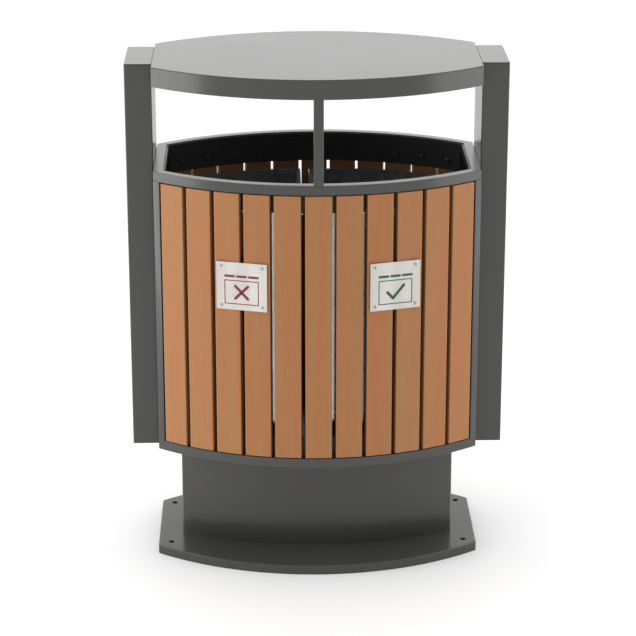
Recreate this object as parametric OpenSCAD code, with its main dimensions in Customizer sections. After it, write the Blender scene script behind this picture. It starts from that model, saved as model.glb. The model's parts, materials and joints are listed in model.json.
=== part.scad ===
// Twin-stream litter bin on a pedestal: a lens-shaped steel frame clad with vertical boards,
// a flat canopy carried by two side posts, two loose liners, and a lockable rear door.
// Millimetres. +Z is up, the front is -Y, and the origin is on the ground under the centre.

/* [Body] */
// Half the width of the body, from the centre to a flat side
body_half_w = 332; // [320:1:345]
// Length of each flat side, front to rear
side_flat = 224; // [216:1:232]
// How far each curved face bulges beyond the flat sides
face_bulge = 116; // [110:1:120]
// Height of the underside of the body
body_z = 236; // [200:1:260]
// Height of the top of the upper ring
mouth_z = 836; // [760:1:860]
// Side of the square bar that the rings, corner posts and strut are made of
bar = 20; // [18:1:22]

/* [Boards] */
// Boards on each curved face
board_count = 11; // [9:2:11]
// Distance from board to board, along the outside of the curve
board_pitch = 62.4; // [61:0.1:62.6]
// Gap between two boards, along the outside of the curve
board_gap = 8; // [7:0.5:10]
// Radius of the long edges of a board
board_edge = 3; // [1:0.5:4]

/* [Canopy and posts] */
// Height of the top of the canopy and of the posts
total_h = 1050; // [1000:1:1100]
// Thickness of the canopy
canopy_t = 40; // [30:1:50]
// How far the curved edges of the canopy bulge beyond its flat sides
canopy_bulge = 119; // [110:1:125]
// Width of a side post, seen from the front
post_w = 55; // [45:1:65]
// Depth of a side post, front to rear
post_d = 164; // [150:1:168]

/* [Pedestal and base] */
// Half the width of the pedestal
pedestal_half_w = 287; // [270:1:295]
// Length of the flat sides of the pedestal
pedestal_flat = 120; // [100:1:130]
// Bulge of the curved faces of the pedestal
pedestal_bulge = 67; // [60:1:75]
// Half the width of the base
base_half_w = 337; // [335:1:345]
// Length of the flat sides of the base
base_flat = 238; // [230:1:245]
// Bulge of the curved edges of the base
base_bulge = 116; // [112:1:120]
// Height of the base
base_h = 20; // [18:1:30]
// Distance between the anchor holes, side to side
anchor_dx = 620; // [600:1:624]
// Distance between the anchor holes, front to rear
anchor_dy = 210; // [200:1:214]
// Radius of an anchor hole
anchor_r = 6; // [5:0.5:8]

/* [Signs] */
// Width of a sign plate
sign_w = 106; // [90:1:110]
// Height of a sign plate
sign_h = 100; // [80:1:120]
// Height of the middle of a sign plate
sign_z = 622; // [500:1:700]

/* [Liners] */
// Width of a liner over its rim
liner_w = 272; // [250:1:274]
// Half depth of a liner over its rim, where its front and rear walls are flat
liner_half_d = 168; // [160:1:184]
// Gap between the rims of the two liners
liner_gap = 17; // [14:1:20]
// Sideways shift of the pair of liners, towards the left
liner_shift = 22; // [0:1:22]
// Height of the rim of a liner
liner_top = 765; // [700:1:767]

/* [Hidden] */
$fn = 96;

steel = "#3a3b38";
steel_dark = "#161614";
steel_light = "#4a4b48";
board_brown = "#a9744a";
zinc = "#9aa0a4";
stainless = "#b8b8b4";
screw_dark = "#55555a";
sign_white = "#e8e0dc";

// Sheet thicknesses
pan_t = 3;
plate_t = 6;
strap_t = 4;
liner_t = 1.5;

// Curved faces: radius of an arc with a given half chord and bulge, and its centre's distance
// from the middle of the plan
face_r = arc_radius(body_half_w, face_bulge);
face_c = arc_centre(body_half_w, side_flat, face_bulge);
corner_angle = asin(body_half_w / face_r);

// Boards
board_t = bar;
board_w = board_pitch - board_gap;
board_clear = 2;
board_z0 = body_z + bar + board_clear;
board_z1 = mouth_z - bar - board_clear;
half_boards = (board_count - 1) / 2;
stile_angle = arc_angle((half_boards + 0.5) * board_pitch - 0.8);

// Where the front and rear panels stop, and where the corner posts begin
post_half_d = post_d / 2;
corner_y = post_half_d + bar;
door_gap = 2;
door_y = corner_y + door_gap;

// Straps behind the boards, just clear of the rings
strap_h = 42;
strap_clear = 0.5;
lower_strap_z = body_z + bar + strap_clear;
upper_strap_z = mouth_z - bar - strap_clear - strap_h;
board_screw_zs = [lower_strap_z + strap_h / 2, upper_strap_z + strap_h / 2];
band_lip = 2;
board_screw_r = 2.5;
board_screw_depth = 14;

// Floor
floor_z1 = body_z + plate_t;

// Bolts between the posts, the side panels and the canopy
post_bolt_r = 4;
post_bolt_ys = [-50, 50];
post_bolt_zs = [board_z0 + 30, upper_strap_z - 10];
canopy_bolt_z = total_h - canopy_t / 2;
fit = 0.05;

// Rear door hinges
hinge_x = -(body_half_w + 8);
hinge_y = corner_y + 10;
hinge_zs = [board_z0 + 70, board_z1 - 70];
knuckle_r = 7;
knuckle_h = 24;
knuckle_gap = 0.5;
pin_r = 4;
door_edge_x = body_half_w - 1;
leaf_t = 4;

// Door lock, through the last rear board on the right
lock_z = 540;
lock_angle = arc_angle(half_boards * board_pitch);
lock_depth = 40;
cam_t = 3;
cam_len = 60;
cam_w = 16;

// Signs lie over the gap between the third and fourth board from each end, on the near edges of
// these two boards
sign_t = 2;
sign_angle = arc_angle((half_boards - 2.5) * board_pitch);
sign_tilt = arc_angle(board_pitch / 2);
sign_r = (face_r - board_edge) * cos(sign_tilt) + (board_w / 2 - board_edge) * sin(sign_tilt)
    + board_edge + fit;
sign_screw_dx = sign_w / 2 - 10;
sign_screw_dz = sign_h / 2 - 9;

// Liners
liner_rim = 8;
liner_inset = 44;
liner_left_x = -liner_shift - liner_gap / 2 - liner_w / 2;
liner_right_x = -liner_shift + liner_gap / 2 + liner_w / 2;
bail_r = 4;
bail_z = liner_top - 21;
bail_arm = 65;
bail_side = liner_w / 2 - liner_rim - liner_t - 4.5;

function arc_radius(half_w, bulge) = (half_w * half_w + bulge * bulge) / (2 * bulge);
function arc_centre(half_w, flat, bulge) = arc_radius(half_w, bulge) - flat / 2 - bulge;
function arc_angle(length) = length / face_r * 180 / PI;
function board_name(face, i) = str(face, "_board_", i < 10 ? "0" : "", i);
function board_angle(i) = arc_angle((i - 1 - half_boards) * board_pitch);

// Plan of two flat sides and two curved faces, drawn in by inset all round
module lens(half_w, flat, bulge, inset = 0) {
    r = arc_radius(half_w, bulge) - inset;
    c = arc_centre(half_w, flat, bulge);
    intersection() {
        translate([0, c]) circle(r = r);
        translate([0, -c]) circle(r = r);
        square([2 * (half_w - inset), 4 * flat], center = true);
    }
}

module body_plan(inset = 0) lens(body_half_w, side_flat, face_bulge, inset);
module canopy_plan(inset = 0) lens(body_half_w, side_flat, canopy_bulge, inset);
module pedestal_plan(inset = 0) lens(pedestal_half_w, pedestal_flat, pedestal_bulge, inset);
module base_plan(inset = 0) lens(base_half_w, base_flat, base_bulge, inset);

module rear() mirror([0, 1, 0]) children();

module both_sides() {
    children();
    mirror([1, 0, 0]) children();
}

module at_z(z) translate([0, 0, z]) children();

// Puts a thing on the front face: X runs along the face, Y points into the body
module on_front(angle, r = face_r, c = face_c)
    translate([0, c, 0]) rotate([0, 0, angle]) translate([0, -r, 0]) children();

// Part of the front face's ring between two angles from its centre line
module face_sector(a0, a1) {
    reach = 2 * face_r;
    translate([0, face_c]) polygon([[0, 0], reach * [sin(a0), -cos(a0)], reach * [sin(a1), -cos(a1)]]);
}

module square_ring() {
    difference() {
        body_plan();
        body_plan(bar);
    }
}

// Section of a board: a rectangle with four round corners, its outer face on the X axis
module board_section() {
    translate([-board_w / 2, board_edge]) square([board_w, board_t - 2 * board_edge]);
    translate([-board_w / 2 + board_edge, 0]) square([board_w - 2 * board_edge, board_t]);
    for (x = [-1, 1], y = [board_edge, board_t - board_edge])
        translate([x * (board_w / 2 - board_edge), y]) circle(r = board_edge, $fn = 32);
}

module board(angle) {
    on_front(angle) difference() {
        at_z(board_z0) linear_extrude(board_z1 - board_z0) board_section();
        for (z = board_screw_zs) board_screw_hole(z);
    }
}

module board_screw_hole(z)
    translate([0, board_t - board_screw_depth, z]) rotate([-90, 0, 0])
        cylinder(r = board_screw_r + fit, h = board_screw_depth + strap_t + 1, $fn = 24);

module board_screws() {
    for (i = [1:board_count], z = board_screw_zs)
        on_front(board_angle(i)) translate([0, board_t + strap_t, z]) {
            rotate([90, 0, 0]) cylinder(r = board_screw_r, h = board_screw_depth + strap_t - 0.5, $fn = 24);
            rotate([-90, 0, 0]) cylinder(r = 5, h = 2.6, $fn = 24);
        }
}

// Curved flat bar behind the boards, with a hole for each board's screw
module strap_bar(z, h = strap_h) {
    difference() {
        at_z(z) linear_extrude(h) intersection() {
            difference() {
                translate([0, face_c]) circle(r = face_r - board_t);
                translate([0, face_c]) circle(r = face_r - board_t - strap_t);
            }
            children();
        }
        for (i = [1:board_count])
            on_front(board_angle(i)) board_screw_hole(z + strap_h / 2);
    }
}

module front_strap(z, h = strap_h)
    strap_bar(z, h) translate([-body_half_w + bar, -2 * body_half_w])
        square([2 * (body_half_w - bar), 2 * body_half_w]);

module door_strap(z)
    rear() strap_bar(z) intersection() {
        face_sector(-stile_angle, stile_angle);
        translate([-body_half_w, -2 * body_half_w]) square([2 * body_half_w, 2 * body_half_w - door_y]);
    }

// Bolt along +X from its head's face, with its nut
module post_bolt(length, nut_x) {
    rotate([0, 90, 0]) cylinder(r = post_bolt_r, h = length, $fn = 32);
    translate([-5, 0, 0]) rotate([0, 90, 0]) cylinder(r = 7.5, h = 5, $fn = 32);
    translate([nut_x, 0, 0]) rotate([0, 90, 0]) difference() {
        cylinder(r = 7.5, h = 6.5, $fn = 6);
        at_z(-1) cylinder(r = post_bolt_r + fit, h = 9, $fn = 32);
    }
}

module post_bolt_holes() {
    for (y = post_bolt_ys, z = concat(post_bolt_zs, [canopy_bolt_z]))
        translate([body_half_w - 2 * pan_t, y, z]) rotate([0, 90, 0])
            cylinder(r = post_bolt_r + fit, h = 4 * pan_t, $fn = 32);
}

module anchor_points()
    for (x = [-anchor_dx / 2, anchor_dx / 2], y = [-anchor_dy / 2, anchor_dy / 2])
        translate([x, y, 0]) children();

module floor_bolt_points() {
    for (x = [-240, 240], y = [-45, 45]) translate([x, y, 0]) children();
    for (x = [-90, 90], y = [-90, 90]) translate([x, y, 0]) children();
}

// Folded tray that stands on its rim, with a crush tube round each anchor hole
module base_pan() color(steel_light) {
    difference() {
        union() {
            at_z(base_h - pan_t) linear_extrude(pan_t) base_plan();
            linear_extrude(base_h - pan_t) difference() {
                base_plan();
                base_plan(pan_t);
            }
            at_z(pan_t) anchor_points() cylinder(r = anchor_r + 5, h = base_h - 2 * pan_t);
        }
        at_z(-1) anchor_points() cylinder(r = anchor_r, h = base_h + 2);
    }
}

module base_underplate() color(steel) {
    linear_extrude(pan_t) difference() {
        base_plan(pan_t);
        anchor_points() circle(r = anchor_r);
    }
}

module pedestal_shell() color(steel) {
    at_z(base_h) linear_extrude(body_z - base_h) difference() {
        pedestal_plan();
        pedestal_plan(pan_t);
    }
}

module pedestal_top_plate() color(steel) {
    at_z(body_z - plate_t) linear_extrude(plate_t) difference() {
        pedestal_plan(pan_t);
        floor_bolt_points() circle(r = post_bolt_r + fit, $fn = 32);
        for (x = [-150, 0, 150]) translate([x, 0]) circle(r = 32);
    }
}

module floor_pan() color(steel) {
    difference() {
        at_z(body_z) linear_extrude(plate_t) body_plan(bar);
        floor_bolt_points() {
            at_z(body_z - 1) cylinder(r = post_bolt_r + fit, h = plate_t + 2, $fn = 32);
            at_z(floor_z1 - 4 - fit)
                cylinder(r1 = post_bolt_r + fit, r2 = 2 * post_bolt_r + fit, h = 4 + fit, $fn = 32);
        }
        for (x = [-285, -120, 120, 285], y = [-30, 30])
            translate([x, y, body_z - 1]) cylinder(r = 5, h = plate_t + 2, $fn = 32);
    }
}

// Countersunk bolts, flush with the floor, each with a nut under the pedestal's top plate
module floor_bolts() color(stainless) {
    floor_bolt_points() {
        at_z(floor_z1 - 4) cylinder(r1 = post_bolt_r, r2 = 2 * post_bolt_r, h = 4, $fn = 32);
        at_z(body_z - plate_t - 9) cylinder(r = post_bolt_r, h = plate_t + 9 + plate_t - 4, $fn = 32);
        at_z(body_z - plate_t - 6.5) difference() {
            cylinder(r = 7.5, h = 6.5, $fn = 6);
            at_z(-1) cylinder(r = post_bolt_r + fit, h = 9, $fn = 32);
        }
    }
}

module lower_ring() color(steel) at_z(body_z) linear_extrude(bar) square_ring();
module upper_ring() color(steel) at_z(mouth_z - bar) linear_extrude(bar) square_ring();

// Corner posts: the front pair fill the corner out to the curved face, the rear pair leave
// room for the door
module corner_posts() color(steel) {
    at_z(body_z + bar) linear_extrude(mouth_z - body_z - 2 * bar) both_sides() {
        translate([body_half_w - bar, post_half_d]) square(bar);
        difference() {
            intersection() {
                body_plan();
                translate([body_half_w - bar, -body_half_w]) square([bar, body_half_w - post_half_d]);
            }
            face_sector(0, stile_angle);
        }
        intersection() {
            body_plan();
            translate([body_half_w - bar, -corner_y]) square(bar);
            face_sector(0, stile_angle);
            translate([0, face_c]) circle(r = face_r - board_t - 0.5);
        }
    }
}

module side_panel() {
    difference() {
        translate([body_half_w - pan_t, -post_half_d, body_z + bar])
            cube([pan_t, post_d, mouth_z - body_z - 2 * bar]);
        post_bolt_holes();
    }
}

module side_panel_left() color(steel) mirror([1, 0, 0]) side_panel();
module side_panel_right() color(steel) side_panel();

// Flat bar round the inside of the upper ring; at the front it reaches down as the upper strap
module mouth_band() color(steel_dark) {
    front_strap(upper_strap_z, strap_h + strap_clear);
    at_z(mouth_z - bar) linear_extrude(bar - band_lip) difference() {
        body_plan(bar);
        body_plan(bar + strap_t);
    }
}

module front_lower_strap() color(steel_dark) front_strap(lower_strap_z);
module front_board_screws() color(screw_dark) board_screws();

module front_board(i) color(board_brown) difference() {
    board(board_angle(i));
    sign_places() sign_screw_points() rotate([-90, 0, 0]) cylinder(r = 1.5 + fit, h = 12, $fn = 24);
}

// Hollow side post, open at both ends
module side_post() {
    difference() {
        translate([body_half_w, -post_half_d, body_z + pan_t])
            cube([post_w, post_d, total_h - body_z - 2 * pan_t]);
        translate([body_half_w + pan_t, -post_half_d + pan_t, body_z])
            cube([post_w - 2 * pan_t, post_d - 2 * pan_t, total_h - body_z]);
        post_bolt_holes();
    }
}

module left_post() color(steel) mirror([1, 0, 0]) side_post();
module right_post() color(steel) side_post();

module post_caps() color(steel_light) {
    both_sides() for (z = [body_z, total_h - pan_t])
        translate([body_half_w, -post_half_d, z]) cube([post_w, post_d, pan_t]);
}

module post_bolts() color(stainless) {
    both_sides() for (y = post_bolt_ys) {
        for (z = post_bolt_zs)
            translate([body_half_w - pan_t, y, z]) post_bolt(20, 2 * pan_t);
        translate([body_half_w - pan_t, y, canopy_bolt_z]) post_bolt(20, 2 * pan_t);
    }
}

module canopy_pan() color(steel_light) {
    difference() {
        union() {
            at_z(total_h - pan_t) linear_extrude(pan_t) canopy_plan();
            at_z(total_h - canopy_t) linear_extrude(canopy_t - pan_t) difference() {
                canopy_plan();
                canopy_plan(pan_t);
            }
        }
        both_sides() post_bolt_holes();
    }
}

module canopy_soffit() color(steel) at_z(total_h - canopy_t) linear_extrude(pan_t) canopy_plan(pan_t);

// Square tube between the front of the mouth and the canopy
module canopy_strut() color(steel) {
    at_z(mouth_z) linear_extrude(total_h - canopy_t - mouth_z)
        translate([0, -side_flat / 2 - face_bulge + bar / 2]) difference() {
            square(bar, center = true);
            square(bar - 4, center = true);
        }
}

module sign_screw_points()
    for (x = [-sign_screw_dx, sign_screw_dx], z = [-sign_screw_dz, sign_screw_dz])
        translate([x, 0, z]) children();

module sign_place(side) on_front(side * sign_angle, sign_r) at_z(sign_z) children();
module sign_places() for (side = [-1, 1]) sign_place(side) children();

module sign_plate(side) sign_place(side) difference() {
    translate([-sign_w / 2, -sign_t, -sign_h / 2]) cube([sign_w, sign_t, sign_h]);
    sign_screw_points() translate([0, -sign_t - 1, 0]) rotate([-90, 0, 0])
        cylinder(r = 1.5 + fit, h = sign_t + 2, $fn = 24);
}

module sign_plate_left() color(sign_white) sign_plate(-1);
module sign_plate_right() color(sign_white) sign_plate(1);

module sign_screws() color(stainless) sign_places() sign_screw_points() {
    translate([0, -sign_t, 0]) rotate([-90, 0, 0]) cylinder(r = 1.5, h = 13, $fn = 24);
    translate([0, -sign_t, 0]) rotate([90, 0, 0]) cylinder(r = 3, h = 1.4, $fn = 24);
}

// Plan of a liner: cut to its own width, flat in front and behind near the middle of the body,
// and following the body's curved faces further out
module liner_plan(x, inset) intersection() {
    translate([0, face_c]) circle(r = face_r - liner_inset - inset);
    translate([0, -face_c]) circle(r = face_r - liner_inset - inset);
    translate([x - liner_w / 2 + inset, inset - liner_half_d])
        square([liner_w - 2 * inset, 2 * (liner_half_d - inset)]);
}

// Loose bucket with a flat rim, four rests for its bail and two holes that the bail turns in
module liner(x) difference() {
    union() {
        at_z(floor_z1) linear_extrude(liner_t) liner_plan(x, liner_rim);
        at_z(floor_z1 + liner_t) linear_extrude(liner_top - floor_z1 - 2 * liner_t) difference() {
            liner_plan(x, liner_rim);
            liner_plan(x, liner_rim + liner_t);
        }
        at_z(liner_top - liner_t) linear_extrude(liner_t) difference() {
            liner_plan(x, 0);
            liner_plan(x, liner_rim + liner_t);
        }
        for (side = [-1, 1], y = [-50, 50])
            translate([x + side * (bail_side - 2), y, bail_z - bail_r - 2.3])
                cube([14, 12, 4], center = true);
    }
    translate([x, 0, bail_z]) rotate([0, 90, 0])
        cylinder(r = bail_r + fit, h = liner_w, center = true, $fn = 48);
}

module liner_left() color(zinc) liner(liner_left_x);
module liner_right() color(zinc) liner(liner_right_x);

// Wire handle that turns about the X axis and rests towards the front
module bail(x) translate([x, 0, bail_z]) {
    for (side = [-1, 1]) {
        translate([side * bail_side, 0, 0]) {
            rotate([0, side * 90, 0]) cylinder(r = bail_r, h = 11, $fn = 48);
            sphere(r = bail_r, $fn = 48);
            rotate([90, 0, 0]) cylinder(r = bail_r, h = bail_arm, $fn = 48);
            translate([0, -bail_arm, 0]) sphere(r = bail_r, $fn = 48);
        }
    }
    translate([0, -bail_arm, 0]) rotate([0, 90, 0])
        cylinder(r = bail_r, h = 2 * bail_side, center = true, $fn = 48);
}

module bail_left() color(stainless) bail(liner_left_x);
module bail_right() color(stainless) bail(liner_right_x);

// One knuckle, centred on a height from the middle of its hinge
module knuckle(z, bore) translate([0, 0, z]) difference() {
    cylinder(r = knuckle_r, h = knuckle_h, center = true);
    cylinder(r = bore, h = knuckle_h + 2, center = true);
}

module hinge_points() for (z = hinge_zs) translate([hinge_x, hinge_y, z]) children();

// Two knuckles on one leaf plate on the rear corner post, for each hinge
module hinge_leaves_frame() color(steel) {
    step = knuckle_h + knuckle_gap;
    leaf_x = -hinge_x - body_half_w - leaf_t;
    leaf_y = post_half_d - hinge_y;
    hinge_points() {
        translate([leaf_x, leaf_y, -knuckle_h / 2 - step])
            cube([leaf_t, corner_y - post_half_d - 6, knuckle_h + 2 * step]);
        for (z = [-step, step]) {
            knuckle(z, pin_r + 0.02);
            difference() {
                translate([leaf_x, leaf_y, z - knuckle_h / 2])
                    cube([leaf_t, corner_y - post_half_d + 8, knuckle_h]);
                translate([0, 0, z]) cylinder(r = knuckle_r - 1, h = knuckle_h + 2, center = true);
            }
        }
    }
}

module hinge_pins() color(stainless) {
    length = 3 * knuckle_h + 2 * knuckle_gap;
    hinge_points() {
        cylinder(r = pin_r, h = length, center = true);
        at_z(length / 2) cylinder(r = pin_r + 1.5, h = 3);
    }
}

module hinge_leaves_door() color(steel) hinge_points() {
    knuckle(0, pin_r + 0.06);
    difference() {
        translate([0, -6, -knuckle_h / 2]) cube([-hinge_x - door_edge_x, 5, knuckle_h]);
        cylinder(r = knuckle_r - 1, h = knuckle_h + 2, center = true);
    }
}

// Bars that close the two ends of the door, shaped to the corner of the plan
module door_stiles() color(steel) {
    at_z(board_z0) linear_extrude(board_z1 - board_z0) rear() both_sides() intersection() {
        body_plan();
        face_sector(stile_angle, corner_angle + 3);
        translate([0, -body_half_w]) square([door_edge_x, body_half_w - door_y]);
    }
}

module door_upper_strap() color(steel_dark) door_strap(upper_strap_z);
module door_lower_strap() color(steel_dark) door_strap(lower_strap_z);
module door_board_screws() color(screw_dark) rear() board_screws();

module on_lock() rear() on_front(lock_angle) at_z(lock_z) rotate([-90, 0, 0]) children();

module rear_board(i) color(board_brown) difference() {
    rear() board(board_angle(i));
    on_lock() at_z(-5) cylinder(r = 9.5 + fit, h = board_t + 10);
}

// Threaded lock housing with its flange outside and its ring nut behind the board
module lock_housing() color(stainless) on_lock() {
    difference() {
        union() {
            at_z(-3) cylinder(r = 13, h = 3);
            cylinder(r = 9.5, h = lock_depth - 4);
        }
        at_z(-4) cylinder(r = 6.06, h = lock_depth + 2);
    }
    at_z(board_t) difference() {
        cylinder(r = 13.5, h = 5, $fn = 6);
        at_z(-1) cylinder(r = 9.5 + fit, h = 7);
    }
}

// Plug with a three-sided key recess; its stud carries the cam
module lock_plug() color(zinc) on_lock() difference() {
    union() {
        at_z(-2) cylinder(r = 6, h = lock_depth + 2);
        cylinder(r = 4, h = lock_depth + cam_t + 5);
    }
    at_z(-3) cylinder(r = 3.6, h = 7, $fn = 3);
}

// Cam plate, pointing down when the door is free, and its nut
module lock_cam() color(zinc) on_lock() {
    at_z(lock_depth) linear_extrude(cam_t) difference() {
        union() {
            circle(r = cam_w / 2);
            translate([-cam_w / 2, 0]) square([cam_w, cam_len]);
        }
        circle(r = 4 + 0.02);
    }
    at_z(lock_depth + cam_t) difference() {
        cylinder(r = 7.5, h = 4, $fn = 6);
        at_z(-1) cylinder(r = 4 + 0.02, h = 6);
    }
}

base_pan();
base_underplate();
pedestal_shell();
pedestal_top_plate();
floor_pan();
floor_bolts();
lower_ring();
upper_ring();
corner_posts();
side_panel_left();
side_panel_right();
mouth_band();
front_lower_strap();
front_board_screws();
left_post();
right_post();
post_caps();
post_bolts();
canopy_pan();
canopy_soffit();
canopy_strut();
sign_plate_left();
sign_plate_right();
sign_screws();
liner_left();
liner_right();
hinge_leaves_frame();
hinge_pins();
door_stiles();
door_upper_strap();
door_lower_strap();
door_board_screws();
hinge_leaves_door();
lock_housing();
lock_plug();
lock_cam();
bail_left();
bail_right();
for (i = [1:board_count]) front_board(i);
for (i = [1:board_count]) rear_board(i);
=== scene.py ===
"""Looks of the twin-stream litter bin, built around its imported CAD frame. Metres, +Z up."""
import json
import math

import bmesh
import bpy
from mathutils import Matrix, Vector


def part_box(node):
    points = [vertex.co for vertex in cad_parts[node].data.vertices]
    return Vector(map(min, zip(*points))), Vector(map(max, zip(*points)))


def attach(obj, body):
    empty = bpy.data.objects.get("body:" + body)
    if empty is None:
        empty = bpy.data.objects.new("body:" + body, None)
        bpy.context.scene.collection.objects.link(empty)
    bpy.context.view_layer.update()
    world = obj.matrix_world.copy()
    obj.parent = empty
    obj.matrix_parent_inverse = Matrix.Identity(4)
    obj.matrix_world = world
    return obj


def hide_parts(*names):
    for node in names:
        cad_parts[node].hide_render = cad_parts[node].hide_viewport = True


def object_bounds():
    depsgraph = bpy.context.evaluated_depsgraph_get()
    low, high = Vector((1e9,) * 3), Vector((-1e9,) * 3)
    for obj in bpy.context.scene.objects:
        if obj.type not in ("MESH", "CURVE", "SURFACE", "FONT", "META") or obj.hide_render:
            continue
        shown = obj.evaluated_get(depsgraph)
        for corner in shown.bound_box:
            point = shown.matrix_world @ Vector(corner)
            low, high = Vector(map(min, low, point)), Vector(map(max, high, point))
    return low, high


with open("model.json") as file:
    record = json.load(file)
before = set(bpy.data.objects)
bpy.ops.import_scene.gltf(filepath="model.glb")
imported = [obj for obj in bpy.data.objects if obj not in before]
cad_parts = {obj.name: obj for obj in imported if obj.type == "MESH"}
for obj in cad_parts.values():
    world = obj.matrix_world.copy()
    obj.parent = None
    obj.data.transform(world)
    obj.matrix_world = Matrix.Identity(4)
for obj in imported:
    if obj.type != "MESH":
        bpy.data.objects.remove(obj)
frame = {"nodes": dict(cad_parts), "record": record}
cad_low, cad_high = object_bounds()

MM = 0.001

# Plan dimensions that a node's box doesn't give
SIDE_FLAT = 224 * MM
PEDESTAL_FLAT = 120 * MM
BASE_FLAT = 238 * MM
BOARD_COUNT = 11
BOARD_PITCH = 62.4 * MM
BOARD_GAP = 8 * MM
BOARD_EDGE = 3 * MM
STRAP_T = 4 * MM
SHEET_T = 3 * MM
LINER_INSET = 44 * MM
LINER_RIM = 8 * MM
LINER_WALL = 1.5 * MM
POST_CORNER = 3 * MM
SIGN_T = 2 * MM

# Outlines: a corner's largest share of an edge, the smallest corner, the usual corner of a plan,
# and how far an edge's middle is off its chord before the edge counts as an arc
CORNER_SHARE = 0.4
MIN_CORNER = 0.2 * MM
PLAN_CORNER = 2 * MM
STRAIGHT = 1e-6

# Folded sheet: the radius along its folds and along its cut rim
FOLD_ROUND = 2.0 * MM
RIM_ROUND = 0.6 * MM

# Faces that meet at a larger angle than this keep a hard edge between them
SHARP_ANGLE = math.radians(28)

# Ageing of the coats, partly painted light: how wide worn edges are, the metal and the dust that
# show, and the Z of a face's normal from which it holds dust. The lighter worn edges are also a
# painted edge highlight, and the dust also paints upward faces lighter, as light from above would.
EDGE_WEAR_AND_HIGHLIGHT_WIDTH = 2.0 * MM
BARE_METAL_AND_EDGE_HIGHLIGHT = (0.15, 0.15, 0.145)
DUST_AND_TOP_LIGHT = (0.42, 0.41, 0.39)
DUST_AND_TOP_LIGHT_FROM = 0.75


# ---------------------------------------------------------------- outlines

def line_edge(a, b):
    """A straight edge as a function of its share, and its length."""
    a, b = Vector(a), Vector(b)
    return (lambda t: a.lerp(b, t)), (b - a).length


def arc_edge(centre_y, radius, a0, a1):
    """An arc about (0, centre_y); an angle is counted from -Y towards +X."""
    def point(t):
        a = a0 + (a1 - a0) * t
        return Vector((radius * math.sin(a), centre_y - radius * math.cos(a)))
    return point, abs(radius * (a1 - a0))


def outline(edges, corner, arc_points=40, corner_points=5):
    """A closed outline from edges that meet end to end, with its corners rounded off."""
    points = []
    for i, (point, length) in enumerate(edges):
        after, after_length = edges[(i + 1) % len(edges)]
        cut = min(CORNER_SHARE, corner / length)
        off_chord = (point(0.5) - point(0).lerp(point(1), 0.5)).length
        steps = arc_points if off_chord > STRAIGHT else 2
        points += [point(cut + (1 - 2 * cut) * k / steps) for k in range(steps + 1)]
        start, tip = points[-1], point(1)
        end = after(min(CORNER_SHARE, corner / after_length))
        for k in range(1, corner_points):
            t = k / corner_points
            points.append(start.lerp(tip, t).lerp(tip.lerp(end, t), t))
    return points


class Lens:
    """A plan with two flat sides and two curved faces."""

    def __init__(self, half_w, half_d, flat):
        bulge = half_d - flat / 2
        self.half_w = half_w
        self.radius = (half_w ** 2 + bulge ** 2) / (2 * bulge)
        self.centre = self.radius - half_d

    def edges(self, inset=0.0):
        return self.cut_edges(-self.half_w + inset, self.half_w - inset, inset)

    def cut_edges(self, x0, x1, inset):
        """The same curved faces, drawn in, between the sides x0 and x1."""
        r, c = self.radius - inset, self.centre
        a0, a1 = math.asin(x0 / r), math.asin(x1 / r)
        front = arc_edge(c, r, a0, a1)
        back = arc_edge(-c, r, math.pi - a1, math.pi - a0)
        right = line_edge(front[0](1), back[0](0))
        left = line_edge(back[0](1), front[0](0))
        return [front, right, back, left]

    def outline(self, inset=0.0, corner=PLAN_CORNER):
        return outline(self.edges(inset), corner)

    def on_front(self, angle):
        """Local X runs along the front face, local Y points into the body."""
        return (Matrix.Translation((0, self.centre, 0)) @ Matrix.Rotation(angle, 4, "Z")
                @ Matrix.Translation((0, -self.radius, 0)))

    def on_rear(self, angle):
        return Matrix.Rotation(math.pi, 4, "Z") @ self.on_front(-angle)


def rectangle(x0, x1, y0, y1, corner):
    """An outline of a rectangle, as a function of how far it is drawn in."""
    def drawn(inset=0.0):
        ax, bx, ay, by = x0 + inset, x1 - inset, y0 + inset, y1 - inset
        corners = [(ax, ay), (bx, ay), (bx, by), (ax, by)]
        edges = [line_edge(corners[i], corners[(i + 1) % 4]) for i in range(4)]
        return outline(edges, max(corner - inset, MIN_CORNER))
    return drawn


def circle(radius, centre=(0, 0), steps=32):
    x, y = centre
    turn = 2 * math.pi / steps
    return [Vector((x + radius * math.cos(turn * k), y + radius * math.sin(turn * k)))
            for k in range(steps)]


def polygon_ring(radius, sides, steps):
    """Points on a regular polygon's edge, evenly turned, so that it lofts to a circle."""
    points = []
    for k in range(steps):
        a = 2 * math.pi * k / steps
        off = (a % (2 * math.pi / sides)) - math.pi / sides
        r = radius * math.cos(math.pi / sides) / math.cos(off)
        points.append(Vector((r * math.cos(a), r * math.sin(a))))
    return points


def rounded_profile(x0, x1, z0, z1, r, steps=3):
    """A closed (inset, z) profile of a rectangle with round corners."""
    corners = ((x1 - r, z1 - r, 0), (x0 + r, z1 - r, 90),
               (x0 + r, z0 + r, 180), (x1 - r, z0 + r, 270))
    points = []
    for cx, cz, start in corners:
        for k in range(steps + 1):
            a = math.radians(start + 90 * k / steps)
            points.append((cx + r * math.cos(a), cz + r * math.sin(a)))
    return points


def edge_round(r, z, up, steps=4):
    """(inset, z) points of a rounded outer edge below z if up, or above z if not, outside in."""
    sign = 1 if up else -1
    points = []
    for k in range(steps + 1):
        a = math.pi / 2 * k / steps
        points.append((r * (1 - math.cos(a)), z - sign * r * (1 - math.sin(a))))
    return points


# ---------------------------------------------------------------- meshes

def add_loop(bm, points, z):
    return [bm.verts.new((p.x, p.y, z)) for p in points]


def bridge(bm, a, b):
    for i in range(len(a)):
        j = (i + 1) % len(a)
        bm.faces.new((a[i], a[j], b[j], b[i]))


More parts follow.
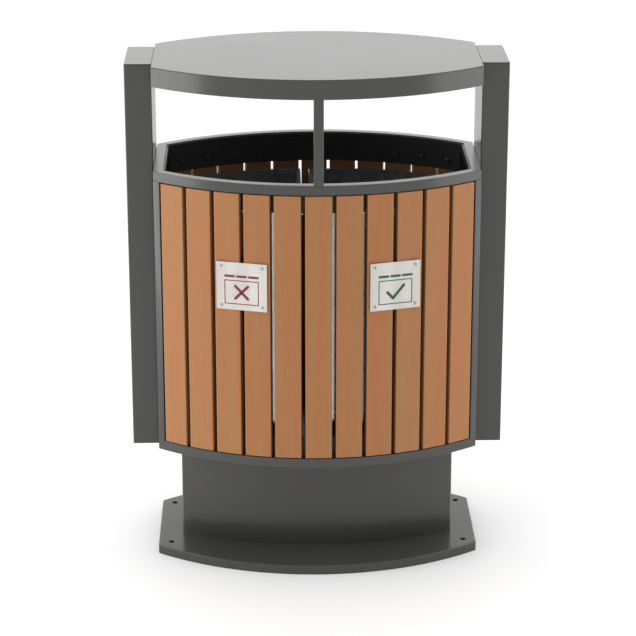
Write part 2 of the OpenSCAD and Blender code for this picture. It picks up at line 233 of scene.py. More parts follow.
def fill(bm, loop, holes=()):
    """A flat cap on a loop, with holes cut out of it."""
    if not holes:
        bm.faces.new(loop)
        return
    edges = []
    for ring in (loop, *holes):
        for i in range(len(ring)):
            pair = (ring[i], ring[(i + 1) % len(ring)])
            edges.append(bm.edges.get(pair) or bm.edges.new(pair))
    bmesh.ops.triangle_fill(bm, use_beauty=True, use_dissolve=False, edges=edges)


def add_sweep(bm, drawn, profile, closed=False, holes=()):
    """Carries an (inset, z) profile round an outline. An open profile is capped at both ends. A
    hole is (centre, (radius, z) profile), from the last cap to the first."""
    loops = [add_loop(bm, drawn(inset), z) for inset, z in profile]
    for a, b in zip(loops, loops[1:]):
        bridge(bm, a, b)
    if closed:
        bridge(bm, loops[-1], loops[0])
        return
    linings = []
    for centre, lining in holes:
        rings = [add_loop(bm, circle(r, centre), z) for r, z in lining]
        for a, b in zip(rings, rings[1:]):
            bridge(bm, a, b)
        linings.append(rings)
    fill(bm, loops[-1], [rings[0] for rings in linings])
    fill(bm, loops[0], [rings[-1] for rings in linings])


def make(name, bm, material, body, replaces=(), matrix=None):
    """Turns a bmesh into a finished piece that rides on a body."""
    if matrix is not None:
        bm.transform(matrix)
    bmesh.ops.recalc_face_normals(bm, faces=bm.faces[:])
    mesh = bpy.data.meshes.new(name)
    bm.to_mesh(mesh)
    bm.free()
    for polygon in mesh.polygons:
        polygon.use_smooth = True
    mesh.set_sharp_from_angle(angle=SHARP_ANGLE)
    piece = bpy.data.objects.new(name, mesh)
    bpy.context.scene.collection.objects.link(piece)
    mesh.materials.append(material)
    flat = piece.modifiers.new("flat_faces", "WEIGHTED_NORMAL")
    flat.keep_sharp = True
    if replaces:
        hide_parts(*replaces)
    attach(piece, body)
    return piece


def sweep_piece(name, drawn, profile, material, body, replaces=(), matrix=None,
                closed=False, holes=()):
    bm = bmesh.new()
    add_sweep(bm, drawn, profile, closed, holes)
    return make(name, bm, material, body, replaces, matrix)


def bar_profile(z0, z1, edge):
    """An open profile of a solid prism with rounded top and bottom edges."""
    return edge_round(edge, z0, False)[::-1] + edge_round(edge, z1, True)


def tray_profile(low, high):
    """An open profile of an upturned sheet tray: down its inner wall, round its rim and up its
    outside to the fold along its top."""
    profile = [(SHEET_T, high.z - SHEET_T), (SHEET_T, low.z)]
    profile += edge_round(RIM_ROUND, low.z, False, 2)[::-1]
    profile += edge_round(FOLD_ROUND, high.z, True)
    return profile


def add_turned(bm, rings, matrix):
    """Lofts rings of (points, height) along local Z, capped at both ends."""
    before = set(bm.verts)
    loops = [add_loop(bm, points, z) for points, z in rings]
    for a, b in zip(loops, loops[1:]):
        bridge(bm, a, b)
    fill(bm, loops[0])
    fill(bm, loops[-1])
    bmesh.ops.transform(bm, matrix=matrix, verts=[v for v in bm.verts if v not in before])


def add_screw(bm, matrix, shank_r, length, head_r, head_h):
    """A pan-head screw with a six-sided socket. Its head is on local +Z, its shank on -Z."""
    socket, steps = 0.45 * head_r, 24
    turned = [(0.4 * shank_r, -length), (shank_r, -length + 2 * shank_r), (shank_r, 0),
              (head_r, 0), (head_r, 0.35 * head_h), (0.93 * head_r, 0.70 * head_h),
              (0.75 * head_r, 0.93 * head_h), (0.60 * head_r, head_h)]
    rings = [(circle(r, steps=steps), z) for r, z in turned]
    rings += [(polygon_ring(socket, 6, steps), z) for z in (head_h, 0.3 * head_h)]
    add_turned(bm, rings, matrix)


# ---------------------------------------------------------------- materials

class Shader:
    """A material with a Principled shader and short calls for its nodes."""

    def __init__(self, name, roughness=0.5, metallic=0.0):
        self.material = bpy.data.materials.new(name)
        self.material.use_nodes = True
        self.nodes = self.material.node_tree.nodes
        self.links = self.material.node_tree.links
        self.shader = self.nodes["Principled BSDF"]
        self.shader.inputs["Roughness"].default_value = roughness
        self.shader.inputs["Metallic"].default_value = metallic
        self.place = self.nodes.new("ShaderNodeTexCoord").outputs["Object"]

    def set(self, **values):
        for name, value in values.items():
            self.shader.inputs[name.replace("_", " ")].default_value = value

    def link(self, source, target):
        self.links.new(source, target)

    def stretched(self, x=1.0, y=1.0, z=1.0):
        node = self.nodes.new("ShaderNodeMapping")
        node.inputs["Scale"].default_value = (x, y, z)
        self.link(self.place, node.inputs["Vector"])
        return node.outputs["Vector"]

    def noise(self, scale, detail=3.0, roughness=0.5, place=None):
        node = self.nodes.new("ShaderNodeTexNoise")
        node.inputs["Scale"].default_value = scale
        node.inputs["Detail"].default_value = detail
        node.inputs["Roughness"].default_value = roughness
        self.link(place or self.place, node.inputs["Vector"])
        return node.outputs["Fac"]

    def cells(self, scale):
        node = self.nodes.new("ShaderNodeTexVoronoi")
        node.inputs["Scale"].default_value = scale
        self.link(self.place, node.inputs["Vector"])
        return node.outputs["Color"]

    def ramp(self, factor, *stops):
        """Colours by share: each stop is (share, (r, g, b))."""
        node = self.nodes.new("ShaderNodeValToRGB")
        elements = node.color_ramp.elements
        while len(elements) < len(stops):
            elements.new(0.5)
        for element, (share, colour) in zip(elements, stops):
            element.position = share
            element.color = (*colour, 1)
        self.link(factor, node.inputs["Fac"])
        return node.outputs["Color"]

    def spread(self, factor, low, high, start=0.0, end=1.0):
        """Maps start..end to low..high."""
        node = self.nodes.new("ShaderNodeMapRange")
        limits = {"From Min": start, "From Max": end, "To Min": low, "To Max": high}
        for name, value in limits.items():
            node.inputs[name].default_value = value
        self.link(factor, node.inputs["Value"])
        return node.outputs["Result"]

    def mix(self, factor, a, b):
        """Colour a, or b as far as the factor goes. In this node, sockets 6 and 7 take colours."""
        node = self.nodes.new("ShaderNodeMix")
        node.data_type = "RGBA"
        if isinstance(factor, float):
            node.inputs[0].default_value = factor
        else:
            self.link(factor, node.inputs[0])
        for socket, value in ((node.inputs[6], a), (node.inputs[7], b)):
            if isinstance(value, tuple):
                socket.default_value = (*value, 1)
            else:
                self.link(value, socket)
        return node.outputs[2]

    def times(self, a, b):
        node = self.nodes.new("ShaderNodeMath")
        node.operation = "MULTIPLY"
        self.link(a, node.inputs[0])
        if isinstance(b, float):
            node.inputs[1].default_value = b
        else:
            self.link(b, node.inputs[1])
        return node.outputs[0]

    def upward(self):
        """1 on faces that look up, 0 on walls."""
        geometry = self.nodes.new("ShaderNodeNewGeometry")
        split = self.nodes.new("ShaderNodeSeparateXYZ")
        self.link(geometry.outputs["Normal"], split.inputs[0])
        return self.spread(split.outputs["Z"], 0.0, 1.0, DUST_AND_TOP_LIGHT_FROM, 1.0)

    def edges(self, noise):
        """1 along edges, broken up by a noise, 0 on flat faces. A softened normal differs from the
        true one only near an edge."""
        geometry = self.nodes.new("ShaderNodeNewGeometry")
        softened = self.nodes.new("ShaderNodeBevel")
        softened.samples = 4
        softened.inputs["Radius"].default_value = EDGE_WEAR_AND_HIGHLIGHT_WIDTH
        match = self.nodes.new("ShaderNodeVectorMath")
        match.operation = "DOT_PRODUCT"
        self.link(geometry.outputs["Normal"], match.inputs[0])
        self.link(softened.outputs["Normal"], match.inputs[1])
        return self.times(self.spread(match.outputs["Value"], 1.0, 0.0, 0.80, 0.97),
                          self.spread(noise, 0.2, 1.0, 0.35, 0.65))

    def bump(self, height, strength, distance):
        node = self.nodes.new("ShaderNodeBump")
        node.inputs["Strength"].default_value = strength
        node.inputs["Distance"].default_value = distance
        self.link(height, node.inputs["Height"])
        previous = self.shader.inputs["Normal"]
        if previous.is_linked:
            self.link(previous.links[0].from_socket, node.inputs["Normal"])
        self.link(node.outputs["Normal"], self.shader.inputs["Normal"])

    def colour(self, source):
        self.link(source, self.shader.inputs["Base Color"])

    def rough(self, source):
        self.link(source, self.shader.inputs["Roughness"])


def powder_coat(name, dark, light, dust_and_top_light, gloss=0.5, rough=0.22):
    """Satin powder coat: fine orange peel, faint mottling, thin worn edges whose lighter colour is
    also a painted edge highlight, and a film of dust on upward faces that also paints them lighter,
    as light from above would."""
    s = Shader(name)
    s.set(IOR=1.55, Specular_IOR_Level=gloss)
    mottle = s.noise(5.0, 4.0, 0.6)
    paint = s.ramp(mottle, (0.3, dark), (0.7, light))
    # Worn edges showing bare metal: their lighter colour is also a painted edge highlight.
    worn_and_highlit = s.mix(s.times(s.edges(s.noise(60.0, 4.0, 0.6)), 0.45), paint, BARE_METAL_AND_EDGE_HIGHLIGHT)
    # A film of dust on upward faces, which is also painted light from above that makes them
    # lighter.
    dust_and_top_light_film = s.times(s.upward(), s.spread(s.noise(4.0, 2.0, 0.5), 0.7, 1.0, 0.3, 0.7))
    s.colour(s.mix(s.times(dust_and_top_light_film, dust_and_top_light), worn_and_highlit, DUST_AND_TOP_LIGHT))
    s.rough(s.spread(s.noise(7.0, 3.0, 0.5), rough, rough + 0.02, 0.3, 0.7))
    s.bump(s.noise(420.0, 2.0, 0.5), 0.02, 0.1 * MM)
    return s.material


def wood_plastic(name, shade):
    """Brown wood-plastic board: brushed lengthwise, with soft red and olive streaks, fine fibres
    and slightly rubbed edges whose lighter colour is also a painted edge highlight. Colours are
    multiplied by shade."""
    def brown(r, g, b):
        return r * shade, g * shade, b * shade

    s = Shader(name)
    s.set(Specular_IOR_Level=0.3)
    streaks = s.noise(1.0, 3.0, 0.5, s.stretched(62, 62, 0.9))
    fibres = s.noise(1.0, 5.0, 0.7, s.stretched(900, 900, 14))
    patches = s.noise(3.0, 2.0, 0.5, s.stretched(4, 4, 0.6))
    body = s.ramp(streaks, (0.34, brown(0.435, 0.161, 0.060)), (0.5, brown(0.412, 0.180, 0.067)),
                  (0.66, brown(0.388, 0.194, 0.074)))
    fibre = s.ramp(fibres, (0.35, brown(0.28, 0.11, 0.036)), (0.65, brown(0.50, 0.25, 0.10)))
    grain = s.mix(0.20, body, fibre)
    tone = s.mix(s.spread(patches, 0.0, 0.30, 0.35, 0.7), grain, brown(0.42, 0.187, 0.078))
    # Lighter edges: rubbing, and a painted edge highlight.
    s.colour(s.mix(s.times(s.edges(streaks), 0.25), tone, brown(0.50, 0.26, 0.125)))
    s.rough(s.spread(fibres, 0.50, 0.66, 0.3, 0.7))
    s.bump(fibres, 0.22, 0.25 * MM)
    return s.material


def galvanised(name, low, high, rough, metallic=1.0):
    """Zinc sheet: flat crystals that differ in tone and gloss."""
    s = Shader(name, metallic=metallic)
    spangle = s.cells(95.0)
    tone = s.nodes.new("ShaderNodeRGBToBW")
    s.link(spangle, tone.inputs[0])
    cloud = s.noise(7.0, 5.0, 0.6)
    crystals = s.ramp(tone.outputs[0], (0.2, low), (0.8, high))
    s.colour(s.mix(s.spread(cloud, 0.1, 0.6, 0.3, 0.7), crystals, low))
    s.rough(s.spread(tone.outputs[0], rough - 0.03, rough + 0.03, 0.2, 0.8))
    s.bump(s.noise(300.0, 3.0, 0.5), 0.02, 0.1 * MM)
    return s.material


def brushed(name, low, high, rough, scale, metallic=0.75):
    """Bright metal brushed along X, with soft upright bands."""
    s = Shader(name, metallic=metallic)
    lines = s.noise(1.0, 5.0, 0.7, s.stretched(scale * 0.02, scale * 0.02, scale))
    bands = s.noise(1.0, 2.0, 0.5, s.stretched(34.0, 34.0, 5.0))
    metal = s.ramp(lines, (0.3, low), (0.7, high))
    s.colour(s.mix(s.spread(bands, 0.0, 0.85, 0.35, 0.65), metal, low))
    s.rough(s.spread(lines, rough - 0.06, rough + 0.08, 0.3, 0.7))
    s.bump(lines, 0.10, 0.1 * MM)
    return s.material


def printed(name, dark, light):
    """Screen-printed ink, a little uneven."""
    s = Shader(name, roughness=0.45)
    s.colour(s.ramp(s.noise(240.0, 4.0, 0.6), (0.3, dark), (0.7, light)))
    s.bump(s.noise(900.0, 2.0, 0.5), 0.08, 0.05 * MM)
    return s.material


GREY_DARK, GREY_LIGHT = (0.046, 0.046, 0.043), (0.049, 0.049, 0.046)
STEEL = powder_coat("powder_coat", GREY_DARK, GREY_LIGHT, dust_and_top_light=0.04)
# The top copy holds less dust, so the painted top light is weaker on the canopy top, post caps and
# base cover.
STEEL_TOP = powder_coat("powder_coat_top", GREY_DARK, GREY_LIGHT, dust_and_top_light=0.03)
# Black coat for the straps and the band inside the mouth: painted shade inside the body.
BLACK_PAINTED_SHADE = powder_coat("black_coat", (0.036, 0.036, 0.035), (0.043, 0.043, 0.042), dust_and_top_light=0.01,
                    gloss=0.25, rough=0.35)
WOOD = wood_plastic("wood_plastic", shade=1.0)
# A darker copy of the wood for the boards' sides: painted shade in the gaps between boards.
WOOD_SIDE_PAINTED_SHADE = wood_plastic("wood_plastic_side_painted_shade", shade=0.6)
ZINC = galvanised("galvanised", (0.60, 0.605, 0.62), (0.71, 0.71, 0.72), rough=0.17,
                  metallic=0.9)
WIRE = galvanised("galvanised_wire", (0.40, 0.41, 0.43), (0.55, 0.56, 0.58), rough=0.35)
STAINLESS = brushed("stainless", (0.42, 0.42, 0.41), (0.58, 0.58, 0.57), rough=0.30,
                    scale=1500.0)
# Darkened screw metal: painted shade for the board screws inside the body.
SCREW_PAINTED_SHADE = brushed("dark_screw", (0.07, 0.07, 0.075), (0.12, 0.12, 0.125), rough=0.34,
                     scale=1500.0)
PLATE = brushed("sign_plate", (0.59, 0.56, 0.53), (0.79, 0.755, 0.72), rough=0.38, scale=700.0,
                metallic=0.45)
RED = printed("red_ink", (0.19, 0.022, 0.032), (0.25, 0.032, 0.045))
GREEN = printed("green_ink", (0.022, 0.075, 0.046), (0.032, 0.100, 0.062))


# ---------------------------------------------------------------- the body

ring_low, ring_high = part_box("upper_ring")
body_lens = Lens(ring_high.x, ring_high.y, SIDE_FLAT)
BAR = ring_high.z - ring_low.z
BOARD_T = BAR


def build_ring(node):
    """A ring of square bar with rounded edges."""
    low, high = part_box(node)
    bar_round = 1.2 * MM
    profile = rounded_profile(0, BAR, low.z, high.z, bar_round)
    sweep_piece(node + "_bar", body_lens.outline, profile, STEEL, "frame", [node],
                closed=True)


def board_angle(i):
    return (i - (BOARD_COUNT + 1) / 2) * BOARD_PITCH / body_lens.radius


def build_board(node, placed, body):
    """A board with rounded long edges, slightly broken ends, and painted shade on its sides, where
    the gaps between boards lie in shade.
    """
    low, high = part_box(node)
    half = (BOARD_PITCH - BOARD_GAP) / 2
    end_round, sideways = 0.8 * MM, 0.9
    bm = bmesh.new()
    add_sweep(bm, rectangle(-half, half, 0, BOARD_T, BOARD_EDGE),
              bar_profile(low.z, high.z, end_round))
    bm.normal_update()
    # Faces that look sideways get the darker wood: painted shade in the gaps.
    for face in bm.faces:
        if abs(face.normal.x) > sideways:
            face.material_index = 1
    piece = make(node + "_slat", bm, WOOD, body, [node], placed)
    piece.data.materials.append(WOOD_SIDE_PAINTED_SHADE)


def build_boards():
    """All boards but the last rear one, which has the lock's hole and stays a CAD node."""
    for i in range(1, BOARD_COUNT + 1):
        angle = board_angle(i)
        build_board(f"front_board_{i:02d}", body_lens.on_front(angle), "frame")
        if i < BOARD_COUNT:
            build_board(f"rear_board_{i:02d}", body_lens.on_rear(angle), "rear_door")


def strap_section(half_w):
    """An outline of a curved flat bar behind the boards that reaches half_w to each side."""
    outer = body_lens.radius - BAR
    reach = math.asin(half_w / outer)

    def drawn(inset=0.0):
        a = reach - inset / outer
        front = arc_edge(body_lens.centre, outer - inset, -a, a)
        back = arc_edge(body_lens.centre, outer - STRAP_T + inset, a, -a)
        edges = [front, line_edge(front[0](1), back[0](0)),
                 back, line_edge(back[0](1), front[0](0))]
        return outline(edges, 0.8 * MM, arc_points=60)
    return drawn


def build_straps():
    """The straps behind the boards, and the band round the mouth with the front boards' upper
    strap, which reaches a little way up into it. All are coated black as painted shade, where the
    inside of the body lies in shade."""
    strap_round, lap = 0.6 * MM, 0.1 * MM
    for node, body, turned in (("front_lower_strap", "frame", 0),
                               ("door_upper_strap", "rear_door", math.pi),
                               ("door_lower_strap", "rear_door", math.pi)):
        low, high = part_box(node)
        profile = bar_profile(low.z, high.z, strap_round)
        sweep_piece(node + "_bar", strap_section(high.x), profile, BLACK_PAINTED_SHADE, body,
                    [node], Matrix.Rotation(turned, 4, "Z"))
    low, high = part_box("mouth_band")
    band = rounded_profile(BAR, BAR + STRAP_T, ring_low.z, high.z, strap_round)
    bm = bmesh.new()
    add_sweep(bm, body_lens.outline, band, closed=True)
    add_sweep(bm, strap_section(high.x), bar_profile(low.z, ring_low.z + lap, strap_round))
    make("mouth_band_bars", bm, BLACK_PAINTED_SHADE, "frame", ["mouth_band"])


def build_board_screws(node, placed, body):
    """The screws that hold the boards, with their heads on the straps' inner faces. Their metal is
    darkened as painted shade inside the body.
    """
    low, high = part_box(node)
    head_r, head_h, shank_r, length = 5 * MM, 2.6 * MM, 2.5 * MM, 17.5 * MM
    bm = bmesh.new()
    for i in range(1, BOARD_COUNT + 1):
        for z in (low.z + head_r, high.z - head_r):
            seat = Matrix.Translation((0, BOARD_T + STRAP_T, z))
            head = seat @ Matrix.Rotation(-math.pi / 2, 4, "X")
            add_screw(bm, placed(board_angle(i)) @ head, shank_r, length, head_r, head_h)
    make(node + "_set", bm, SCREW_PAINTED_SHADE, body, [node])


# ---------------------------------------------------------------- posts, canopy and strut

def build_posts():
    """The posts, and the caps on their ends with a fine seam between cap and post."""
    cap_round, seam_w = 1.4 * MM, 0.5 * MM
    caps_low, caps_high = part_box("post_caps")
    caps = bmesh.new()
    for node in ("left_post", "right_post"):
        low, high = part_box(node)
        section = rectangle(low.x, high.x, low.y, high.y, POST_CORNER)
        sweep_piece(node + "_tube", section, bar_profile(low.z, high.z, 0.3 * MM), STEEL, "frame",
                    [node])
        for joint, end, up in ((low.z, caps_low.z, False), (high.z, caps_high.z, True)):
            seam = [(seam_w, joint), (0.0, joint + (seam_w if up else -seam_w))]
            add_sweep(caps, section, seam + edge_round(cap_round, end, up))
    make("post_cap_set", caps, STEEL_TOP, "frame", ["post_caps"])


def build_canopy():
    """A folded tray, closed below by a sheet that leaves a fine gap all round."""
    low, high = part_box("canopy_pan")
    lens = Lens(high.x, high.y, SIDE_FLAT)
    sweep_piece("canopy_top", lens.outline, tray_profile(low, high), STEEL_TOP, "frame",
                ["canopy_pan"])
    soffit_low, soffit_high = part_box("canopy_soffit")
    gap = soffit_round = 0.4 * MM

    def drawn(inset=0.0):
        return lens.outline(SHEET_T + gap + inset)

    sweep_piece("canopy_underside", drawn,
                bar_profile(soffit_low.z, soffit_high.z, soffit_round), STEEL, "frame",
                ["canopy_soffit"])


def build_strut():
    low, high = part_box("canopy_strut")
    tube_corner = 1.6 * MM
    section = rectangle(low.x, high.x, low.y, high.y, tube_corner)
    sweep_piece("canopy_strut_tube", section, bar_profile(low.z, high.z, 0.2 * MM), STEEL, "frame",
                ["canopy_strut"])


# ---------------------------------------------------------------- pedestal and base

def build_pedestal():
    """A curved sheet box, open above and below."""
    low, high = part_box("pedestal_shell")
    lens = Lens(high.x, high.y, PEDESTAL_FLAT)
    bend, cut_round = 5 * MM, 0.4 * MM
    profile = rounded_profile(0, SHEET_T, low.z, high.z, cut_round, 2)

    def drawn(inset=0.0):
        return lens.outline(inset, bend)

    sweep_piece("pedestal_skin", drawn, profile, STEEL, "frame",
                ["pedestal_shell"], closed=True)


def build_base():
    """A folded tray with a tube round each anchor hole."""
    low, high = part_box("base_pan")
    lens = Lens(high.x, high.y, BASE_FLAT)
    bolts = next(m for m in frame["record"]["mounts"] if m["kind"] == "bolt_pattern")["dims"]
    dx, dy = bolts["spacing_x_mm"] / 2 * MM, bolts["spacing_y_mm"] / 2 * MM
    r = bolts["hole_r_mm"] * MM
    bend, tube_t, chamfer = 4 * MM, 5 * MM, 0.7 * MM
    tube_r = r + tube_t
    lining = [(r + chamfer, high.z), (r, high.z - chamfer), (r, low.z + SHEET_T),
              (tube_r, low.z + SHEET_T), (tube_r, high.z - SHEET_T)]
    holes = [((x, y), lining) for x in (-dx, dx) for y in (-dy, dy)]

    def drawn(inset=0.0):
        return lens.outline(inset, bend)

    sweep_piece("base_cover", drawn, tray_profile(low, high), STEEL_TOP, "frame",
                ["base_pan"], holes=holes)


# ---------------------------------------------------------------- liners

def build_liner(node):
    """A sheet bucket with a hemmed rim and four rests for its bail. Its corners are pressed round,
    and its front and rear are flat near the middle of the body."""
    low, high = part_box(node)
    top = high.z
    corner, least_corner = 14 * MM, 3 * MM

    def drawn(inset=0.0):
        edges = body_lens.cut_edges(low.x + inset, high.x - inset, LINER_INSET + inset)
        curved = outline(edges, max(corner - inset, least_corner), 24, 6)
        return [Vector((p.x, min(max(p.y, low.y + inset), high.y - inset))) for p in curved]

    hem, hem_t, crease, lip = 5 * MM, 1.2 * MM, 0.6 * MM, 1.0 * MM
    foot = 6 * MM
    part = 0.3 * foot
    inside = LINER_RIM + LINER_WALL
    outer = [(LINER_RIM + foot, low.z), (LINER_RIM + part, low.z + part),
             (LINER_RIM, low.z + foot), (LINER_RIM, top - LINER_WALL), (hem_t, top - LINER_WALL),
             (hem_t, top - hem), (crease, top - hem - crease), (0.0, top - hem),
             (0.0, top - lip), (lip, top)]
    inner = [(inside - crease, top), (inside, top - crease), (inside, low.z + foot),
             (inside + part, low.z + part + LINER_WALL), (inside + foot, low.z + LINER_WALL)]
    bm = bmesh.new()
    add_sweep(bm, drawn, outer + inner)
    bail_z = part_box(node.replace("liner", "bail"))[0].z
    rest_y, rest_reach, rest_half_w = 50 * MM, 13.5 * MM, 6 * MM
    rest_corner, rest_round = 1 * MM, 0.4 * MM
    bottom, rest_top = bail_z - 4.3 * MM, bail_z - 0.3 * MM
    for x, way in ((low.x + LINER_RIM + LINER_WALL, 1), (high.x - LINER_RIM - LINER_WALL, -1)):
        for y in (-rest_y, rest_y):
            x0, x1 = sorted((x, x + way * rest_reach))
            rest = rectangle(x0, x1, y - rest_half_w, y + rest_half_w, rest_corner)
            add_sweep(bm, rest, bar_profile(bottom, rest_top, rest_round))
    make(node + "_bucket", bm, ZINC, "frame", [node])


def build_bail(node):
    """A wire bail with bent corners. Its two ends are its pivots."""
    low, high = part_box(node)
    r = (high.z - low.z) / 2
    z, pivot_y, grip_y = (low.z + high.z) / 2, high.y - r, low.y + r
    x0, x1 = low.x, high.x
    arm, pivot_bend, grip_bend = 11 * MM, 3 * MM, 14 * MM
    bend_steps, sides = 8, 16
    route = [(x0, pivot_y), (x0 + arm, pivot_y), (x0 + arm, grip_y), (x1 - arm, grip_y),
             (x1 - arm, pivot_y), (x1, pivot_y)]
    path = [Vector((*route[0], z))]
    for i, bend in enumerate([pivot_bend, grip_bend, grip_bend, pivot_bend], start=1):
        before, tip, after = (Vector((*route[k], z)) for k in (i - 1, i, i + 1))
        start = tip + (before - tip).normalized() * bend
        end = tip + (after - tip).normalized() * bend
        for k in range(bend_steps + 1):
            t = k / bend_steps
            path.append(start.lerp(tip, t).lerp(tip.lerp(end, t), t))
    path.append(Vector((*route[-1], z)))
    up = Vector((0, 0, 1))
    bm = bmesh.new()
    loops = []
    for i, p in enumerate(path):
        ahead = path[min(i + 1, len(path) - 1)] - path[max(i - 1, 0)]
        across = ahead.normalized().cross(up)
        ring = []
        for k in range(sides):
            a = 2 * math.pi * k / sides
            ring.append(bm.verts.new(p + r * (math.cos(a) * across + math.sin(a) * up)))
        loops.append(ring)
    for a, b in zip(loops, loops[1:]):
        bridge(bm, a, b)
    fill(bm, loops[0])
    fill(bm, loops[-1])
    make(node + "_wire", bm, WIRE, node, [node])


# ---------------------------------------------------------------- signs

def sign_frame(node):
    """The local frame of a sign plate: X across, Y up, Z out of its face. The plate lies on the
    highest lines of two boards, five half pitches from the middle of the body."""
    low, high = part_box(node)
    side = -1 if low.x < 0 else 1
    r, tilt = body_lens.radius - BOARD_EDGE, BOARD_PITCH / 2 / body_lens.radius
    reach = (BOARD_PITCH - BOARD_GAP) / 2 - BOARD_EDGE
    lift = r * math.cos(tilt) + reach * math.sin(tilt) - r + 0.05 * MM
    turn = Matrix.Rotation(math.pi / 2, 4, "X")
    place = Matrix.Translation((0, -lift, (low.z + high.z) / 2))
    return body_lens.on_front(side * 5 * tilt) @ place @ turn


def add_stroke(bm, a, b, width, z0, z1):
    """A raised bar with round ends, from a to b."""
    a, b = Vector(a), Vector(b)
    along = (b - a).normalized()
    start = math.atan2(along.y, along.x)
    end_steps = 8
    points = []
    for centre, turn in ((b, start - math.pi / 2), (a, start + math.pi / 2)):
        for k in range(end_steps + 1):
            angle = turn + math.pi * k / end_steps
            points.append(centre + width / 2 * Vector((math.cos(angle), math.sin(angle))))
    lower, upper = add_loop(bm, points, z0), add_loop(bm, points, z1)
    bridge(bm, lower, upper)
    fill(bm, lower)
    fill(bm, upper)


def build_sign(node, ink, strokes):
    """A plate with a printed frame, three short bars above it, and a plain mark in it. The mark's
    strokes are in millimetres from the middle of the frame."""
    low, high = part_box(node)
    width, height = 106 * MM, high.z - low.z
    placed = sign_frame(node)
    outer = rectangle(-width / 2, width / 2, -height / 2, height / 2, 1.2 * MM)
    sweep_piece(node + "_sheet", outer, bar_profile(0, SIGN_T, 0.4 * MM), PLATE, "frame",
                [node], placed)
    bm = bmesh.new()
    bottom, top = SIGN_T - 0.02 * MM, SIGN_T + 0.10 * MM
    x, y0, y1 = 35 * MM, -37 * MM, 12 * MM
    frame_line, mark_line, bar_line = 2.0 * MM, 6 * MM, 5 * MM
    corners = [(-x, y0), (x, y0), (x, y1), (-x, y1)]
    for i in range(4):
        add_stroke(bm, corners[i], corners[(i + 1) % 4], frame_line, bottom, top)
    bar_x, bar_length, bar_pitch, bar_y = -34, 18, 25, 21 * MM
    for k in range(3):
        start = bar_x + bar_pitch * k
        add_stroke(bm, (start * MM, bar_y), ((start + bar_length) * MM, bar_y), bar_line, bottom,
                   top)
    middle = Vector((0, (y0 + y1) / 2))
    for a, b in strokes:
        add_stroke(bm, middle + MM * Vector(a), middle + MM * Vector(b), mark_line, bottom, top)
    make(node + "_print", bm, ink, "frame", matrix=placed)


def build_sign_screws():
    """Four screws in each sign plate, near its corners."""
    low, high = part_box("sign_screws")
    half_w, half_h = 43 * MM, (high.z - low.z) / 2 - 3 * MM
    shank_r, length, head_r, head_h = 1.5 * MM, 12.5 * MM, 3.4 * MM, 1.5 * MM
    bm = bmesh.new()
    for node in ("sign_plate_left", "sign_plate_right"):
        for x in (-half_w, half_w):
            for y in (-half_h, half_h):
                head = sign_frame(node) @ Matrix.Translation((x, y, SIGN_T))
                add_screw(bm, head, shank_r, length, head_r, head_h)
    make("sign_screw_set", bm, STAINLESS, "frame", ["sign_screws"])


# ---------------------------------------------------------------- CAD nodes that stay

def dress(node, material, bevel=0.5 * MM):
    """Gives a CAD node its material and breaks its sharp edges."""
    piece = frame["nodes"][node]
    piece.data.materials.clear()
    piece.data.materials.append(material)
    weld = piece.modifiers.new("weld", "WELD")
    weld.merge_threshold = 0.01 * MM
    soft = piece.modifiers.new("edges", "BEVEL")
    soft.width = bevel
    soft.segments = 2
    soft.limit_method = "ANGLE"
    soft.angle_limit = math.radians(35)
    soft.harden_normals = True


def dress_all():
    fine = 0.3 * MM
    for node in ("base_underplate", "pedestal_top_plate", "floor_pan", "corner_posts",
                 "side_panel_left", "side_panel_right", "hinge_leaves_frame", "door_stiles",
                 "hinge_leaves_door"):
        dress(node, STEEL)
    for node in ("floor_bolts", "post_bolts", "hinge_pins", "lock_housing", "lock_plug"):
        dress(node, STAINLESS, fine)
    dress("lock_cam", WIRE, fine)
    dress("rear_board_11", WOOD, 0.4 * MM)


# ---------------------------------------------------------------- studio

# White that the camera sees, and the world's strength by the height of a direction
CAMERA_WHITE = 1.2
FRONT_GLOW = ((0.0, 0.10), (0.35, 0.10), (0.60, 1.05))
REAR_GLOW = ((0.0, 1.60), (0.34, 1.60), (0.43, 0.60), (0.52, 0.60), (0.70, 1.60))


def area_light(name, place, aim, size, power):
    """A rectangular lamp that faces a point and that the camera doesn't see."""
    data = bpy.data.lights.new(name, "AREA")
    data.shape = "RECTANGLE"
    data.size, data.size_y = size
    data.energy = power
    lamp = bpy.data.objects.new(name, data)
    bpy.context.scene.collection.objects.link(lamp)
    lamp.location = place
    lamp.rotation_euler = (Vector(aim) - Vector(place)).to_track_quat("-Z", "Y").to_euler()
    lamp.visible_camera = False


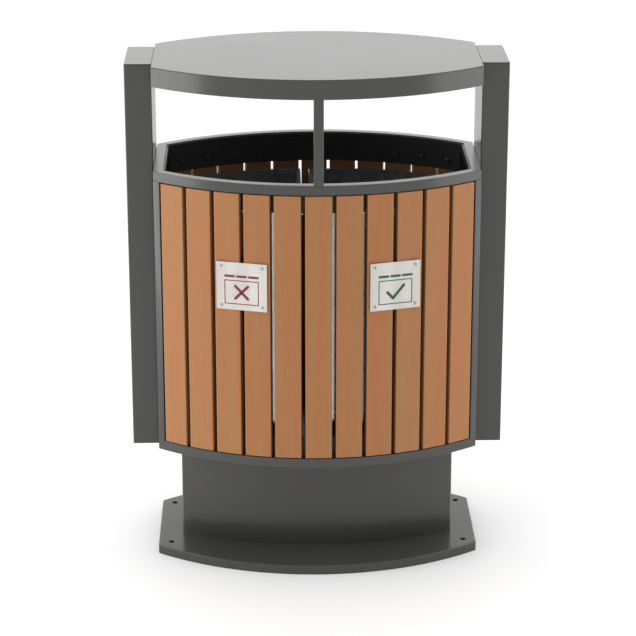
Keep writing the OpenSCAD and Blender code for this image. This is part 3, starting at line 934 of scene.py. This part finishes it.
def build_world():
    """White all round for the camera. For light and reflections it is bright overhead and low
    behind the bin, and dim low in front of it."""
    world = bpy.data.worlds.new("studio")
    bpy.context.scene.world = world
    world.use_nodes = True
    nodes, links = world.node_tree.nodes, world.node_tree.links

    def node(kind, **values):
        made = nodes.new(kind)
        for name, value in values.items():
            made.inputs[name.replace("_", " ")].default_value = value
        return made

    def by_height(*stops):
        """Strength by the height of a direction: each stop is (height, strength)."""
        ramp = node("ShaderNodeValToRGB")
        elements = ramp.color_ramp.elements
        while len(elements) < len(stops):
            elements.new(0.5)
        for element, (height, strength) in zip(elements, stops):
            element.position = height
            element.color = (strength, strength, strength, 1)
        links.new(split.outputs["Z"], ramp.inputs["Fac"])
        return ramp.outputs["Color"]

    split = node("ShaderNodeSeparateXYZ")
    behind = node("ShaderNodeMapRange", From_Min=-0.4, From_Max=0.4)
    glow = node("ShaderNodeMix")
    choice = node("ShaderNodeMix", B=CAMERA_WHITE)
    links.new(node("ShaderNodeTexCoord").outputs["Generated"], split.inputs[0])
    links.new(split.outputs["Y"], behind.inputs["Value"])
    links.new(behind.outputs["Result"], glow.inputs["Factor"])
    links.new(by_height(*FRONT_GLOW), glow.inputs["A"])
    links.new(by_height(*REAR_GLOW), glow.inputs["B"])
    links.new(node("ShaderNodeLightPath").outputs["Is Camera Ray"], choice.inputs["Factor"])
    links.new(glow.outputs["Result"], choice.inputs["A"])
    links.new(choice.outputs["Result"], nodes["Background"].inputs["Strength"])
    nodes["Background"].inputs["Color"].default_value = (1, 1, 1, 1)


def build_studio():
    """A soft box at each side, the left one brighter, over a plain pale floor."""
    build_world()
    aim, box_size = (0, 0, 0.3), (2.2, 1.5)
    area_light("left_box", (-2.4, -0.5, 0.8), aim, box_size, 30)
    area_light("right_box", (2.4, -0.5, 0.8), aim, box_size, 16)
    bpy.ops.mesh.primitive_plane_add(size=40, location=(0, 0, 0))
    floor = bpy.context.object
    floor.name = "studio_floor"
    paper = Shader("floor_paper", roughness=0.9)
    paper.set(Specular_IOR_Level=0.1)
    paper.colour(paper.ramp(paper.noise(1.5), (0.3, (0.94, 0.94, 0.94)), (0.7, (0.96, 0.96, 0.96))))
    floor.data.materials.append(paper.material)
    bpy.context.scene.view_settings.view_transform = "Standard"


def build_camera():
    """A long lens, a little left of the front and above the canopy."""
    azimuth, elevation, distance = math.radians(-1.3), math.radians(18.8), 5.0
    aim_right, aim_down = 3.6 * MM, 41 * MM
    middle = (cad_low + cad_high) / 2
    aim = Vector((middle.x + aim_right, middle.y, middle.z - aim_down))
    back = Vector((math.sin(azimuth) * math.cos(elevation),
                   -math.cos(azimuth) * math.cos(elevation), math.sin(elevation)))
    data = bpy.data.cameras.new("camera")
    data.lens = 134.2
    camera = bpy.data.objects.new("camera", data)
    bpy.context.scene.collection.objects.link(camera)
    camera.location = aim + distance * back
    camera.rotation_euler = (-back).to_track_quat("-Z", "Y").to_euler()
    bpy.context.scene.camera = camera


# ---------------------------------------------------------------- all together

build_camera()
build_studio()
build_ring("upper_ring")
build_ring("lower_ring")
build_boards()
build_straps()
build_board_screws("front_board_screws", body_lens.on_front, "frame")
build_board_screws("door_board_screws", body_lens.on_rear, "rear_door")
build_posts()
build_canopy()
build_strut()
build_pedestal()
build_base()
for side in ("left", "right"):
    build_liner("liner_" + side)
    build_bail("bail_" + side)
cross = [((-13, -13), (13, 13)), ((-13, 13), (13, -13))]
tick = [((-17, 0), (-5, -13)), ((-5, -13), (18, 13))]
build_sign("sign_plate_left", RED, cross)
build_sign("sign_plate_right", GREEN, tick)
build_sign_screws()
dress_all()
